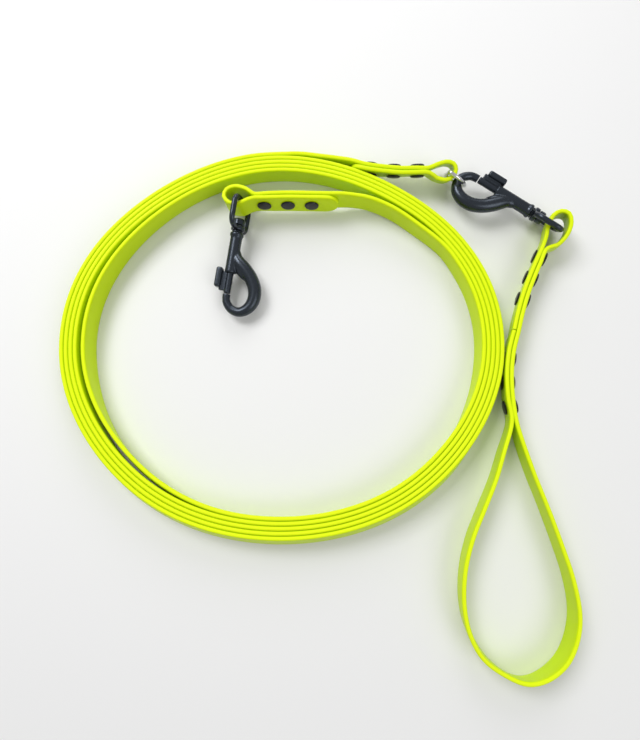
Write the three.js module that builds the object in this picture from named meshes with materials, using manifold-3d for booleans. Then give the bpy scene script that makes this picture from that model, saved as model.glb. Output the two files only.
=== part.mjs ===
// A dog training leash. A long line of coated webbing is wound on edge in a coil, with a bolt snap on its
// inner end and a D-ring on its outer end. A short handle strap with a hand loop is clipped to the D-ring
// by a second bolt snap. Millimetres, +Z up, lying on the plane z = 0.
import * as THREE from "three";
import { mergeVertices } from "three/addons/utils/BufferGeometryUtils.js";
import Module from "manifold-3d";

const wasm = await Module();
wasm.setup();

// ---------------------------------------------------------------- driving dimensions
const strapWidth = 16;
const strapThickness = 2.5;
const layerGap = 0.16; // air between two layers of strap that lie face to face
const seatGap = 0.25; // between a piece and the face it is fixed against
const runGap = 0.3; // between pieces that move on each other, all round
const restGap = 0.12; // of a strap's lower edge over the plane the coil rests on

const coil = {
  semiAcross: 117.3, // first turn, from the centre to the middle of the strap, along x
  semiDeep: 104.25, // the same along y
  startAngle: 40, // degrees, where the inner end joins the first turn
  endAngle: 90, // degrees, where the outer end leaves the last turn
  turns: 5, // strap layers side by side
  pitch: strapThickness + layerGap, // from one layer to the next
  shoulder: 0.018, // how much the shape draws in at its upper shoulders, as a share of the radius
  tuck: 1, // how far the ring's end of the strap pushes the turns in, where it lies against them
  tuckAngle: 68, // degrees, where it pushes most
  leanFront: 0.33, // lean of the upper edge towards the centre, at the front
  leanBack: 0.12, // the same at the back
  slackAcross: 2, // how far the first turn stands off the next one, on the left
  steps: 84,
};

const rivet = {
  capRadius: 4.3,
  domeHeight: 1.3,
  rim: 0.5,
  shaftRadius: 1.5,
  socketDepth: 0.8,
  spacing: 14.5,
  perGroup: 3,
  segments: 12,
};

const ring = {
  wireRadius: 1.1,
  clearWidth: strapWidth + 1.6, // takes the strap's width
  depth: 13, // from the middle of the straight bar to the middle of the arc's top
  shoulderDepth: 3,
};

const snap = {
  barrelRadius: 3.6,
  barrelLength: 25, // from the swivel end to the mouth
  flangeRadius: 4.2,
  flangeLength: 1.8,
  endWall: 1.4, // between the post's socket and the spring's bore
  boltRadius: 2.1,
  tipRadius: 2.4,
  tipDistance: 38, // from the swivel end to the hook's tip
  boltEngaged: 5, // length of bolt inside the barrel at rest
  travel: 10.5,
  leverThickness: 2.4,
  leverReach: 5.4, // from the axis to the lever's outer edge
  leverLength: 11.8,
  padReach: 8.3,
  padLength: 12.2,
  padWidth: 6.4,
  postRadius: 1.8,
  postSocket: 3.2,
  headRadius: 3.8,
  headLength: 4.2,
  washerRadius: 3.3,
  washerThickness: 0.8,
  springWire: 0.3,
  springRadius: 1.75,
  springTurns: 6,
  // middle line of the arm and hook: x, y from the swivel end, radius
  hook: [
    [1.6, -14, 3.1],
    [4.4, -17.8, 4.1],
    [8.8, -21.6, 4.3],
    [13.4, -26.6, 4.2],
    [16.5, -32.8, 4.1],
    [16.8, -39, 3.9],
    [14.4, -44.4, 3.5],
    [9.7, -47.5, 3],
    [4.6, -46.8, 2.7],
    [1.1, -43.4, 2.5],
    [0.1, -40.3, 2.4],
  ],
};

const eye = {
  wireRadius: 1.7,
  clearWidth: strapWidth + 3, // takes the strap's width
  barDistance: 19.8, // from the snap's swivel end to the middle of the bar
  bossRadius: 4.2,
  bossThickness: 3,
  barCorner: 4,
  baseCorner: 5,
};

// ---------------------------------------------------------------- places, from the coil's centre
const snapAPlace = { x: -29, y: 65.6, z: 11.8, heading: -9.6, pitch: 6.5, roll: -11 };
const snapBPlace = { x: 151.25, y: 79.15, z: 12.3, heading: -124.5, pitch: 0, roll: 30 };
const ringPlace = { x: 101, y: 104.6, z: 12.1, towards: [0.806, -0.592] };
const barA = { x: -25.7, y: 85, z: 14 };
const barB = { x: 167.55, y: 67.95, z: 12.3 };

// A strap's route is a list of points. Each holds x and y at the middle of the strap's width, the height of
// its lower edge, and the lean of its upper edge along x and y, as a share of the width.
// Where a strap lies double there is one list for the middle of the two layers.
const leanAtEyeA = [-0.06, 0];
const leanAtEyeB = [-0.28, -0.2];
const leanAtRing = [-0.1, -0.42];

const snapEndSpine = [
  [33, 86, 4, -0.03, 0.05],
  [27, 86, 4, -0.03, 0.05],
  [15, 86, 4.5, -0.04, 0.05],
  [2, 85.9, 5, -0.05, 0.05],
  [-9, 85.7, 5.1, -0.06, 0.03],
  [-17.5, 85.5, 5.2, ...leanAtEyeA],
];
const snapEndLoop = [
  [-22, 82.4],
  [-26.8, 80.4],
  [-32.4, 81.2],
  [-35.6, 85.2],
  [-34, 89.6],
  [-29, 91.4],
  [-22.8, 89.8],
];
const snapEndLead = [
  [41.5, 87.4, 3, -0.02, 0],
  [52, 86, 2, 0, 0],
  [65.5, 80.6, 1, 0, 0],
  [78.5, 72.2, 0, 0, 0],
  [85.5, 66.7, 0, 0, 0],
];

const ringEndSpine = [
  [41.5, 111.2, 1, 0, -0.2],
  [51.7, 108.6, 2, 0, -0.3],
  [69.4, 106.5, 3.4, -0.02, -0.4],
  [80, 106.2, 4.2, -0.04, -0.42],
  [88, 106, 4.5, -0.08, -0.42],
];
const ringEndLoop = [
  [93.6, 102.4],
  [99.5, 100.9],
  [103.4, 102.4],
  [105, 105.8],
  [103.2, 109.1],
  [98.6, 110.2],
  [93, 109],
];
const ringEndLead = [
  [33, 114.1, 0.5, 0, -0.17],
  [23.5, 115.4, 0.3, 0, -0.16],
  [11, 116.9, 0, 0, -0.13],
  [0.8, 117.3, 0, 0, -0.12],
];

const handleFoldSpine = [
  [138.5, 4, 0, -0.21, 0.05],
  [141.2, 14, 0, -0.21, 0.05],
  [145, 25.5, 0, -0.21, 0.04],
  [149.4, 36, 0, -0.23, 0],
  [154.2, 46.5, 0.2, -0.26, -0.1],
  [158.4, 55.6, 0.6, ...leanAtEyeB],
];
const handleEyeLoop = [
  [160, 63.5],
  [161, 69.8],
  [163.6, 75.2],
  [167.6, 77],
  [171.6, 75],
  [172.9, 69.8],
  [171.2, 63.4],
  [166.8, 58.2],
];
const handleSpine = [
  [134, -49, 0, -0.2, 0],
  [132.7, -35.5, 0, -0.2, 0.02],
  [132.9, -21.5, 0, -0.21, 0.04],
  [134.8, -8.5, 0, -0.21, 0.05],
  [138.3, 3.4, 0, -0.21, 0.05],
];
const handLoop = [
  [138, -62, 0, -0.12, 0],
  [143, -79, 0, -0.1, 0],
  [149.6, -98, 0, -0.1, 0],
  [155.6, -117, 0, -0.1, 0],
  [160.6, -135, 0, -0.1, 0],
  [162.8, -152, 0, -0.1, 0],
  [160.6, -166, 0, -0.1, 0.05],
  [154, -178.5, 0, -0.08, 0.12],
  [143, -187, 0, -0.04, 0.2],
  [131.5, -189.3, 0, -0.06, 0.24],
  [119.8, -184.4, 0, -0.14, 0.28],
  [109.5, -175, 0, -0.2, 0.16],
  [103, -162, 0, -0.14, 0.03],
  [100.7, -147, 0, -0.12, 0],
  [102.2, -130, 0, -0.12, 0],
  [107, -113.5, 0, -0.12, 0],
  [114, -98, 0, -0.12, 0],
  [121.3, -82, 0, -0.13, 0],
  [127, -66, 0, -0.15, 0],
];

// ---------------------------------------------------------------- materials
const finish = (color, roughness, metalness) =>
  new THREE.MeshStandardMaterial({ color, roughness, metalness });
const neonStrap = () => finish(0xc8f000, 0.42, 0);
const blackMetal = () => finish(0x16181c, 0.45, 0.9);
const brightNickel = () => finish(0xd8dade, 0.2, 1);
const springSteel = () => finish(0x8c9096, 0.35, 1);

// ---------------------------------------------------------------- solids
function solidOf(geometry) {
  const plain = geometry.clone();
  plain.deleteAttribute("normal");
  plain.deleteAttribute("uv");
  const merged = mergeVertices(plain, 1e-4);
  return new wasm.Manifold(
    new wasm.Mesh({
      numProp: 3,
      vertProperties: new Float32Array(merged.attributes.position.array),
      triVerts: new Uint32Array(merged.index.array),
    }),
  );
}

function geometryOf(solid) {
  const mesh = solid.getMesh();
  const geometry = new THREE.BufferGeometry();
  geometry.setAttribute("position", new THREE.BufferAttribute(mesh.vertProperties, 3));
  geometry.setIndex(new THREE.BufferAttribute(mesh.triVerts, 1));
  geometry.computeVertexNormals();
  return geometry;
}

function piece(name, solid, material) {
  const mesh = new THREE.Mesh(geometryOf(solid), material);
  mesh.name = name;
  return mesh;
}

// A closed solid from rings of points, joined one to the next, with flat ends or joined end to start.
function loft(rings, closed) {
  const sides = rings[0].length;
  const positions = rings.flat().flatMap((p) => [p.x, p.y, p.z]);
  const index = [];
  const count = rings.length;
  for (let i = 0; i < (closed ? count : count - 1); i += 1) {
    const here = i * sides;
    const there = ((i + 1) % count) * sides;
    for (let k = 0; k < sides; k += 1) {
      const next = (k + 1) % sides;
      index.push(here + k, there + k, there + next);
      index.push(here + k, there + next, here + next);
    }
  }
  if (!closed) {
    const last = (count - 1) * sides;
    for (let k = 1; k < sides - 1; k += 1) {
      index.push(0, k, k + 1);
      index.push(last, last + k + 1, last + k);
    }
  }
  const geometry = new THREE.BufferGeometry();
  geometry.setAttribute("position", new THREE.Float32BufferAttribute(positions, 3));
  geometry.setIndex(index);
  const solid = solidOf(geometry);
  return solid.volume() < 0 ? solidOf(turnedOut(geometry)) : solid;
}

function turnedOut(geometry) {
  const index = Array.from(geometry.index.array);
  for (let i = 0; i < index.length; i += 3) {
    [index[i + 1], index[i + 2]] = [index[i + 2], index[i + 1]];
  }
  return geometry.clone().setIndex(index);
}

// A round profile of [radius, along] pairs, turned about the y axis.
function turned(profile, segments) {
  const outline = profile.map(([radius, along]) => new THREE.Vector2(radius, along));
  return solidOf(new THREE.LatheGeometry(outline, segments));
}

const cylinder = (radius, from, to, segments) =>
  turned([[0, from], [radius, from], [radius, to], [0, to]], segments);

function box(low, high) {
  const size = high.map((v, i) => v - low[i]);
  const geometry = new THREE.BoxGeometry(...size);
  geometry.translate(...low.map((v, i) => v + size[i] / 2));
  return solidOf(geometry);
}

function moved(solid, matrix) {
  const geometry = geometryOf(solid);
  geometry.applyMatrix4(matrix);
  return solidOf(geometry);
}

// ---------------------------------------------------------------- straps
const upOf = ([x, y]) => new THREE.Vector3(x, y, Math.sqrt(1 - x * x - y * y));

// One of two layers, from the middle of the pair: half a pitch to the right of its direction, or the left.
function layer(spine, side) {
  return spine.map(([x, y, lift, leanX, leanY], i) => {
    const before = spine[Math.max(i - 1, 0)];
    const after = spine[Math.min(i + 1, spine.length - 1)];
    const along = new THREE.Vector2(after[0] - before[0], after[1] - before[1]).normalize();
    const leanAcross = leanX * along.y - leanY * along.x;
    const out = (side * coil.pitch) / 2 / Math.sqrt(1 - leanAcross * leanAcross);
    return [x + along.y * out, y - along.x * out, lift, leanX, leanY];
  });
}

// A fold's points, all at one level along a leaning bar, so the strap turns squarely about the lean.
function foldAbout(bar, lean, points) {
  const up = upOf(lean);
  return points.map(([x, y]) => {
    const middle = bar.z - (up.x * (x - bar.x) + up.y * (y - bar.y)) / up.z;
    const half = (strapWidth / 2) * up.z + (strapThickness / 2) * Math.hypot(...lean);
    return [x, y, middle - half - restGap, ...lean];
  });
}

// Stations along a route: the middle of the strap, its direction, its width's and its thickness's direction.
function stationsOf(route, step) {
  const middle = new THREE.CatmullRomCurve3(
    route.map(([x, y, lift, leanX, leanY]) => {
      const corner = (strapThickness / 2) * Math.hypot(leanX, leanY);
      const half = (strapWidth / 2) * upOf([leanX, leanY]).z;
      return new THREE.Vector3(x, y, restGap + lift + corner + half);
    }),
    false,
    "catmullrom",
  );
  const lean = new THREE.CatmullRomCurve3(
    route.map(([, , , leanX, leanY]) => new THREE.Vector3(leanX, leanY, 0)),
    false,
    "catmullrom",
  );
  const spans = route.length - 1;
  const stations = [];
  for (let i = 0; i < spans; i += 1) {
    const [a, b] = [route[i], route[i + 1]];
    const count = Math.max(2, Math.ceil(Math.hypot(b[0] - a[0], b[1] - a[1]) / step));
    for (let k = 0; k < count; k += 1) stations.push((i + k / count) / spans);
  }
  stations.push(1);
  let run = 0;
  let previous = null;
  return stations.map((t) => {
    const point = middle.getPoint(t);
    const tangent = middle.getTangent(t);
    const shift = lean.getPoint(t);
    const up = upOf([shift.x, shift.y]);
    up.addScaledVector(tangent, -up.dot(tangent)).normalize();
    const side = new THREE.Vector3().crossVectors(tangent, up).normalize();
    if (previous) run += point.distanceTo(previous);
    previous = point;
    return { point, tangent, up, side, run };
  });
}

// The strap itself: a flat section carried along its stations. tip rounds the first end.
function ribbon(stations, tip) {
  const rings = stations.map(({ point, up, side, run }) => {
    const inTip = tip > 0 && run < tip;
    const share = inTip ? Math.sqrt(1 - (1 - run / tip) ** 2) : 1;
    const half = (strapWidth / 2) * Math.max(share, 0.3);
    return [
      [half, strapThickness / 2],
      [-half, strapThickness / 2],
      [-half, -strapThickness / 2],
      [half, -strapThickness / 2],
    ].map(([u, s]) => point.clone().addScaledVector(up, u).addScaledVector(side, s));
  });
  return loft(rings, false);
}

function stationAt(stations, run) {
  const after = stations.findIndex((s) => s.run >= run);
  const [a, b] = [stations[Math.max(after - 1, 0)], stations[after]];
  const share = b.run > a.run ? (run - a.run) / (b.run - a.run) : 0;
  const mix = (key) => a[key].clone().lerp(b[key], share);
  return { point: mix("point"), up: mix("up").normalize(), side: mix("side").normalize() };
}

// Rivets through two layers. Each frame's origin is midway between the layers, with y through them.
function rivetFrames(stations, first, fromEnd, sideOfSecondLayer) {
  const total = stations[stations.length - 1].run;
  return Array.from({ length: rivet.perGroup }, (_, i) => {
    const along = first + i * rivet.spacing;
    const at = stationAt(stations, fromEnd ? total - along : along);
    const through = at.side.clone().multiplyScalar(sideOfSecondLayer);
    const across = at.up.clone().addScaledVector(through, -at.up.dot(through)).normalize();
    const third = new THREE.Vector3().crossVectors(through, across);
    const middle = at.point.clone().addScaledVector(through, coil.pitch / 2);
    return new THREE.Matrix4().makeBasis(across, through, third.negate()).setPosition(middle);
  });
}

const faceOffset = strapThickness + layerGap / 2; // from between the layers to an outer face

function rivetHole() {
  return cylinder(rivet.shaftRadius + runGap, -strapThickness * 2, strapThickness * 2, rivet.segments);
}

function dome(faceAt, direction) {
  const out = (along) => faceAt + direction * along;
  const { capRadius, rim, domeHeight } = rivet;
  return [
    [capRadius, out(0)],
    [capRadius, out(rim)],
    [capRadius * 0.8, out(domeHeight * 0.72)],
    [capRadius * 0.42, out(domeHeight * 0.95)],
    [0, out(domeHeight)],
  ];
}

function rivetPost() {
  const face = faceOffset + seatGap;
  const end = face + rivet.socketDepth - runGap;
  const head = dome(-face, -1).reverse();
  return turned([...head, [rivet.shaftRadius, -face], [rivet.shaftRadius, end], [0, end]], rivet.segments);
}

function rivetCap() {
  const face = faceOffset + seatGap;
  const socket = rivet.shaftRadius + runGap;
  const bottom = face + rivet.socketDepth;
  return turned([[0, bottom], [socket, bottom], [socket, face], ...dome(face, 1)], rivet.segments);
}

function withRivets(solid, frames) {
  return frames.reduce((left, frame) => left.subtract(moved(rivetHole(), frame)), solid);
}

function rivetPieces(prefix, frames) {
  return frames.flatMap((frame, i) => [
    piece(`${prefix}_rivet_${i + 1}_post`, moved(rivetPost(), frame), blackMetal()),
    piece(`${prefix}_rivet_${i + 1}_cap`, moved(rivetCap(), frame), blackMetal()),
  ]);
}

// ---------------------------------------------------------------- coil
const radians = THREE.MathUtils.degToRad;
const smooth = THREE.MathUtils.smoothstep;

function tuckShare(angle) {
  const away = Math.abs(THREE.MathUtils.radToDeg(angle) - coil.tuckAngle) % 360;
  return 1 - smooth(Math.min(away, 360 - away), 4, 34);
}

// A point on the coil at an angle, so many turns out from the first, and so far off the strap's middle.
function coilPoint(angle, turn, off) {
  const [cos, sin] = [Math.cos(angle), Math.sin(angle)];
  const diagonal = (1 - Math.cos(4 * angle)) / 2;
  const shape = 1 - diagonal * coil.shoulder * (0.25 + sin);
  const grow = turn * coil.pitch + off - coil.tuck * tuckShare(angle);
  return new THREE.Vector2(
    (coil.semiAcross + grow) * shape * cos,
    (coil.semiDeep + grow) * shape * sin,
  );
}

function coilLean(angle) {
  const sin = Math.sin(angle);
  return coil.leanFront * smooth(-sin, 0.1, 0.75) + coil.leanBack * smooth(sin, 0.3, 1);
}

// All the turns as one body, with a step inside and outside where the strap's ends join them.
function coilSolid() {
  const half = strapThickness / 2;
  const stepWidth = runGap / coil.semiAcross; // radians
  const start = radians(coil.startAngle);
  const end = radians(coil.endAngle);
  const turnLost = (end - start) / (2 * Math.PI);
  const rings = [];
  const addRing = (angle, turnIn, turnOut) => {
    const slack = coil.slackAcross * smooth(-Math.cos(angle), 0.2, 0.9);
    const inner = coilPoint(angle, turnIn, -half - slack);
    const outer = coilPoint(angle, turnOut, half);
    const lean = coilLean(angle);
    const up = upOf([lean, 0]).z;
    const shift = (lean * strapWidth) / 2;
    const place = (p, height) => {
      const towards = p.clone().normalize().multiplyScalar(height > 0 ? -shift : shift);
      return new THREE.Vector3(p.x + towards.x, p.y + towards.y, height);
    };
    const top = strapWidth * up;
    rings.push([place(outer, top), place(outer, 0), place(inner, 0), place(inner, top)]);
  };
  // clockwise from just right of the outer step, all the way round to it
  for (let i = 0; i <= coil.steps; i += 1) {
    const passed = (i / coil.steps) * 2 * Math.PI;
    const angle = end - stepWidth - passed * (1 - stepWidth / (2 * Math.PI));
    const turnOut = coil.turns - 1 - turnLost + passed / (2 * Math.PI);
    const pastStart = passed - (end - start);
    const turnIn = pastStart / (2 * Math.PI) + (pastStart < 0 ? 1 : 0);
    addRing(angle, turnIn, turnOut);
  }
  return loft(rings, true);
}

// ---------------------------------------------------------------- D-ring
function wireLoop(points, wireRadius, sides, planeNormal) {
  const count = points.length;
  const rings = points.map((point, i) => {
    const before = points[(i + count - 1) % count];
    const after = points[(i + 1) % count];
    const along = after.clone().sub(before).normalize();
    const out = new THREE.Vector3().crossVectors(along, planeNormal).normalize();
    return Array.from({ length: sides }, (_, k) => {
      const turn = (k / sides) * 2 * Math.PI;
      return point
        .clone()
        .addScaledVector(out, wireRadius * Math.cos(turn))
        .addScaledVector(planeNormal, wireRadius * Math.sin(turn));
    });
  });
  return loft(rings, true);
}

function arc(x, y, radiusX, radiusY, from, to, steps) {
  return Array.from({ length: steps + 1 }, (_, i) => {
    const angle = radians(from + ((to - from) * i) / steps);
    return [x + radiusX * Math.cos(angle), y + radiusY * Math.sin(angle)];
  });
}

// The ring in its own frame: bar along z at x = 0, arc towards +x.
function ringSolid() {
  const half = ring.clearWidth / 2 + ring.wireRadius;
  const corner = ring.wireRadius * 1.4;
  const outline = [
    ...arc(corner, half - corner, corner, corner, 180, 90, 3),
    ...arc(ring.shoulderDepth, 0, ring.depth - ring.shoulderDepth, half, 90, -90, 20),
    ...arc(corner, corner - half, corner, corner, 270, 180, 3),
  ];
  const points = outline.map(([x, z]) => new THREE.Vector3(x, 0, z));
  return wireLoop(points, ring.wireRadius, 8, new THREE.Vector3(0, 1, 0));
}

function ringFrame() {
  const up = upOf(leanAtRing);
  const towards = new THREE.Vector3(...ringPlace.towards, 0);
  towards.addScaledVector(up, -towards.dot(up)).normalize();
  const third = new THREE.Vector3().crossVectors(up, towards);
  return new THREE.Matrix4()
    .makeBasis(towards, third, up)
    .setPosition(ringPlace.x, ringPlace.y, ringPlace.z);
}

// ---------------------------------------------------------------- bolt snap, axis along y, hook towards -y
const mouth = -snap.barrelLength;
const boltEnd = -snap.tipDistance + runGap + 0.15;
const boltBack = mouth + snap.boltEngaged;
const boreEnd = -snap.postSocket - snap.endWall;

function hookSolid() {
  const [x, y, radius] = [0, 1, 2].map((k) => snap.hook.map((row) => row[k]));
  const curve = new THREE.CatmullRomCurve3(
    [...x.map((v, i) => new THREE.Vector3(v, y[i], radius[i])), new THREE.Vector3(0, -snap.tipDistance, snap.tipRadius)],
  );
  const steps = 30;
  const sides = 12;
  const rings = Array.from({ length: steps + 1 }, (_, i) => {
    const at = curve.getPoint(i / steps);
    const along = curve.getTangent(i / steps);
    const out = new THREE.Vector3(along.y, -along.x, 0).normalize();
    return Array.from({ length: sides }, (_unused, k) => {
      const turn = (k / sides) * 2 * Math.PI;
      return new THREE.Vector3(
        at.x + out.x * at.z * Math.cos(turn),
        at.y + out.y * at.z * Math.cos(turn),
        at.z * Math.sin(turn),
      );
    });
  });
  return loft(rings, false);
}

function snapBody() {
  const { barrelRadius, flangeRadius, flangeLength } = snap;
  const barrel = turned(
    [
      [0, mouth],
      [barrelRadius, mouth],
      [barrelRadius, -flangeLength - 0.9],
      [flangeRadius, -flangeLength],
      [flangeRadius, -0.4],
      [flangeRadius - 0.4, 0],
      [0, 0],
    ],
    20,
  );
  const slotTop = boltEnd + snap.travel + snap.leverLength + runGap + 1.6;
  const slotHalf = snap.leverThickness / 2 + runGap;
  return barrel
    .add(hookSolid())
    .subtract(cylinder(snap.boltRadius + runGap, boltEnd, boreEnd, 16))
    .subtract(cylinder(snap.postRadius + runGap, -snap.postSocket, 1, 16))
    .subtract(box([-barrelRadius - 3, boltEnd, -slotHalf], [0, slotTop, slotHalf]));
}

function boltSolid() {
  const { boltRadius, leverThickness, leverReach, leverLength, padReach, padLength, padWidth } = snap;
  const pin = turned(
    [
      [0, boltEnd],
      [boltRadius - 0.4, boltEnd],
      [boltRadius, boltEnd + 0.4],
      [boltRadius, boltBack],
      [0, boltBack],
    ],
    16,
  );
  const low = boltEnd + 1.4;
  const lever = box([-leverReach, low, -leverThickness / 2], [-0.5, low + leverLength, leverThickness / 2]);
  const padLow = low + 1.6;
  const outline = new THREE.Shape();
  outline.moveTo(-padReach + 0.9, padLow);
  outline.lineTo(-leverReach + 1, padLow);
  outline.lineTo(-leverReach + 1, padLow + padLength);
  outline.lineTo(-padReach + 0.6, padLow + padLength);
  outline.lineTo(-padReach, padLow + padLength - 1.2);
  outline.lineTo(-padReach, padLow + 1.2);
  const pad = new THREE.ExtrudeGeometry(outline, {
    depth: padWidth - 1.2,
    bevelThickness: 0.6,
    bevelSize: 0.4,
    bevelOffset: -0.4,
    bevelSegments: 2,
  });
  pad.translate(0, 0, -padWidth / 2 + 0.6);
  return pin.add(lever).add(solidOf(pad));
}

function springSolid() {
  const from = boltBack + runGap;
  const to = boreEnd - runGap;
  const steps = snap.springTurns * 9;
  const sides = 4;
  const rise = to - from - 2 * snap.springWire;
  const rings = Array.from({ length: steps + 1 }, (_, i) => {
    const turn = (i / steps) * snap.springTurns * 2 * Math.PI;
    const out = new THREE.Vector3(Math.cos(turn), 0, Math.sin(turn));
    const centre = out.clone().multiplyScalar(snap.springRadius);
    centre.y = from + snap.springWire + (rise * i) / steps;
    return Array.from({ length: sides }, (_unused, k) => {
      const around = (k / sides) * 2 * Math.PI;
      return centre
        .clone()
        .addScaledVector(out, snap.springWire * Math.cos(around))
        .add(new THREE.Vector3(0, snap.springWire * Math.sin(around), 0));
    });
  });
  return loft(rings, false);
}

const washerFrom = seatGap;
const bossFrom = washerFrom + snap.washerThickness + runGap;
const headFrom = bossFrom + eye.bossThickness + runGap;

function washerSolid() {
  const hole = cylinder(snap.postRadius + runGap, -1, 3, 16);
  return cylinder(snap.washerRadius, washerFrom, washerFrom + snap.washerThickness, 16).subtract(hole);
}

function postSolid() {
  const { postRadius, headRadius, headLength, postSocket } = snap;
  return turned(
    [
      [0, -postSocket + runGap],
      [postRadius, -postSocket + runGap],
      [postRadius, headFrom],
      [headRadius, headFrom],
      [headRadius, headFrom + headLength - 1],
      [headRadius * 0.7, headFrom + headLength],
      [0, headFrom + headLength],
    ],
    16,
  );
}

function eyeSolid() {
  const half = eye.clearWidth / 2 + eye.wireRadius;
  const base = bossFrom + eye.bossThickness / 2;
  const { barCorner, baseCorner, barDistance } = eye;
  const outline = [
    ...arc(barDistance - barCorner, half - barCorner, barCorner, barCorner, 0, 90, 5),
    ...arc(base + baseCorner, half - baseCorner, baseCorner, baseCorner, 90, 180, 5),
    ...arc(base + baseCorner, baseCorner - half, baseCorner, baseCorner, 180, 270, 5),
    ...arc(barDistance - barCorner, barCorner - half, barCorner, barCorner, 270, 360, 5),
  ];
  const points = outline.map(([y, z]) => new THREE.Vector3(0, y, z));
  const wire = wireLoop(points, eye.wireRadius, 10, new THREE.Vector3(1, 0, 0));
  return wire
    .add(cylinder(eye.bossRadius, bossFrom, bossFrom + eye.bossThickness, 20))
    .subtract(cylinder(snap.postRadius + runGap, 0, headFrom, 16));
}

function snapGroup(prefix, place) {
  const group = new THREE.Group();
  group.position.set(place.x, place.y, place.z);
  group.rotation.order = "ZXY";
  group.rotation.set(radians(place.pitch), 0, radians(place.heading));
  const eyeTurn = new THREE.Group();
  eyeTurn.rotation.y = radians(place.roll);
  eyeTurn.add(piece(`${prefix}_swivel_eye`, eyeSolid(), blackMetal()));
  group.add(
    eyeTurn,
    piece(`${prefix}_body`, snapBody(), blackMetal()),
    piece(`${prefix}_bolt`, boltSolid(), blackMetal()),
    piece(`${prefix}_spring`, springSolid(), springSteel()),
    piece(`${prefix}_swivel_post`, postSolid(), blackMetal()),
    piece(`${prefix}_washer`, washerSolid(), blackMetal()),
  );
  return group;
}

// ---------------------------------------------------------------- the leash
const routeStep = 5;
const backwards = (route) => [...route].reverse();

const snapEndRoute = [
  ...layer(snapEndSpine, -1),
  ...foldAbout(barA, leanAtEyeA, snapEndLoop),
  ...layer(backwards(snapEndSpine), -1),
  ...snapEndLead,
];
const ringEndRoute = [
  ...layer(ringEndSpine, 1),
  ...foldAbout(ringPlace, leanAtRing, ringEndLoop),
  ...layer(backwards(ringEndSpine), 1),
  ...ringEndLead,
];
const handleRoute = [
  ...layer(handleFoldSpine, -1),
  ...foldAbout(barB, leanAtEyeB, handleEyeLoop),
  ...layer(backwards(handleFoldSpine).slice(0, -1), -1),
  ...layer(backwards(handleSpine), -1),
  ...handLoop,
  ...layer(handleSpine, -1),
];

const snapEnd = stationsOf(snapEndRoute, routeStep);
const ringEnd = stationsOf(ringEndRoute, routeStep);
const handle = stationsOf(handleRoute, routeStep);

const snapEndRivets = rivetFrames(snapEnd, 16.5, false, 1);
const ringEndRivets = rivetFrames(ringEnd, 12.5, false, -1);
const handleFoldRivets = rivetFrames(handle, 21.5, false, 1);
const handLoopRivets = rivetFrames(handle, 16, true, 1);

const leash = new THREE.Group();
leash.add(
  piece("line_coil", coilSolid(), neonStrap()),
  piece("line_snap_end", withRivets(ribbon(snapEnd, strapWidth / 2), snapEndRivets), neonStrap()),
  piece("line_ring_end", withRivets(ribbon(ringEnd, strapWidth / 2), ringEndRivets), neonStrap()),
  piece("handle_strap", withRivets(ribbon(handle, 0), [...handleFoldRivets, ...handLoopRivets]), neonStrap()),
  piece("d_ring", moved(ringSolid(), ringFrame()), brightNickel()),
  snapGroup("snap_a", snapAPlace),
  snapGroup("snap_b", snapBPlace),
  ...rivetPieces("snap_end", snapEndRivets),
  ...rivetPieces("ring_end", ringEndRivets),
  ...rivetPieces("handle_fold", handleFoldRivets),
  ...rivetPieces("hand_loop", handLoopRivets),
);

// The origin is under the middle of the whole leash.
leash.updateMatrixWorld(true);
const extent = new THREE.Box3().setFromObject(leash, true);
const middleOf = extent.getCenter(new THREE.Vector3());
leash.position.set(-middleOf.x, -middleOf.y, -extent.min.z);

export default leash;
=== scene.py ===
import math

import bpy
from mathutils import Matrix, Vector


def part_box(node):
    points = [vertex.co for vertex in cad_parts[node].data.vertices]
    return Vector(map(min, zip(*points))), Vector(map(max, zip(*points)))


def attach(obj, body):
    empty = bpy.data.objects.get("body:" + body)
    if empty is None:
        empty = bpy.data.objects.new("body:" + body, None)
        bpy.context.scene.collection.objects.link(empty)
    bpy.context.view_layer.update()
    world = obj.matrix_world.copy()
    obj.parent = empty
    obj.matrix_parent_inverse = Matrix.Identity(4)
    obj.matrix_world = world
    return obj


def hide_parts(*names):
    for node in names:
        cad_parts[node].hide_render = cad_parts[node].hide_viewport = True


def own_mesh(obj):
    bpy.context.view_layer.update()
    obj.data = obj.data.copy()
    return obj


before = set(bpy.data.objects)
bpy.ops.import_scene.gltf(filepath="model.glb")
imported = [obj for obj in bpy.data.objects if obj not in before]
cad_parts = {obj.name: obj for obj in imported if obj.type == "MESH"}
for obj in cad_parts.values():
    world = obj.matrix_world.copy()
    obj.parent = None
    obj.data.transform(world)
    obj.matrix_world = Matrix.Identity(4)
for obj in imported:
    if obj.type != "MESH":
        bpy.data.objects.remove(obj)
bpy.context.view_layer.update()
bpy.ops.object.select_all(action="DESELECT")

mm = 0.001
# the layout below is counted from the coil's centre, in millimetres: the coil reaches this far left of
# it and in front of it
coilReach = {"left": 130.816, "front": 119.740}
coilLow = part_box("line_coil")[0]
layoutOrigin = Vector((coilLow.x + coilReach["left"] * mm, coilLow.y + coilReach["front"] * mm, coilLow.z))


def toFrame(x, y, z):
    return layoutOrigin + Vector((x, y, z)) * mm


# camera: above the coil, tipped a little towards the snaps
cameraSetup = {
    "place": (21.65, -57.3, 285),
    "tiltDegrees": 8,
    "lens": 22.865,
    "sensor": 36,
    "nearClip": 0.01,  # metres
}

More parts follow.
